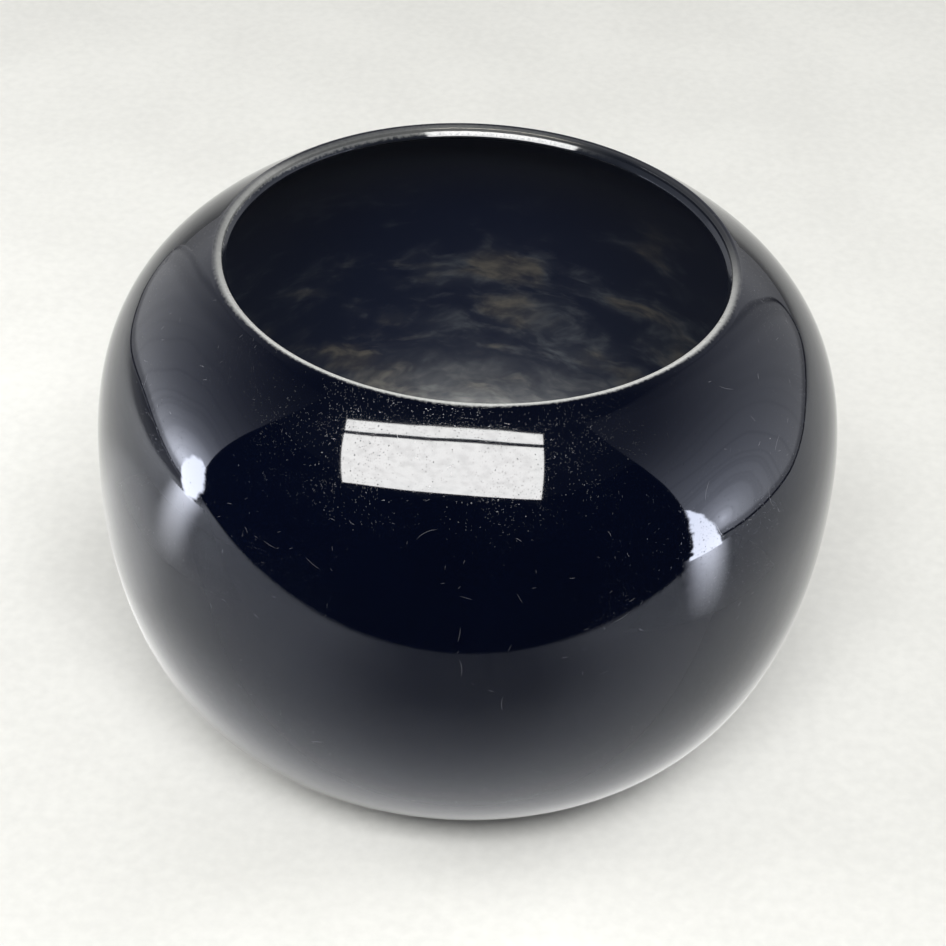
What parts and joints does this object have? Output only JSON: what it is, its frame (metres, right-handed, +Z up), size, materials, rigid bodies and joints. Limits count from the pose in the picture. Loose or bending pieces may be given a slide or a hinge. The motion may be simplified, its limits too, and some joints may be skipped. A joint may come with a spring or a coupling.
{
  "type": "posy vase",
  "caption": "Squat globe-shaped ceramic posy vase with a wide round mouth, a pale thin-glazed lip, black gloss glaze inside and out, and a turned foot ring; holds short-stemmed flowers.",
  "frame": {"origin": "on the table, under the middle of the foot ring", "axes": "+Z up along the axis of the vase; +X and +Y are any two level directions, because the vase is round"},
  "size_m": [0.115, 0.115, 0.0804],
  "materials": {
    "clay": "bare fired clay, pale grey, fine grained, semi-matt",
    "outer_gloss": "blue-black gloss glaze with fine scratches and pinholes",
    "inner_gloss": "blue-black gloss glaze, clouded by a thin mineral film",
    "base_gloss": "blue-black gloss glaze"
  },
  "bodies": {
    "root": {"clay_body": "clay", "outer_glaze": "outer_gloss", "inner_glaze": "inner_gloss", "base_glaze": "base_gloss"}
  },
  "joints": []
}
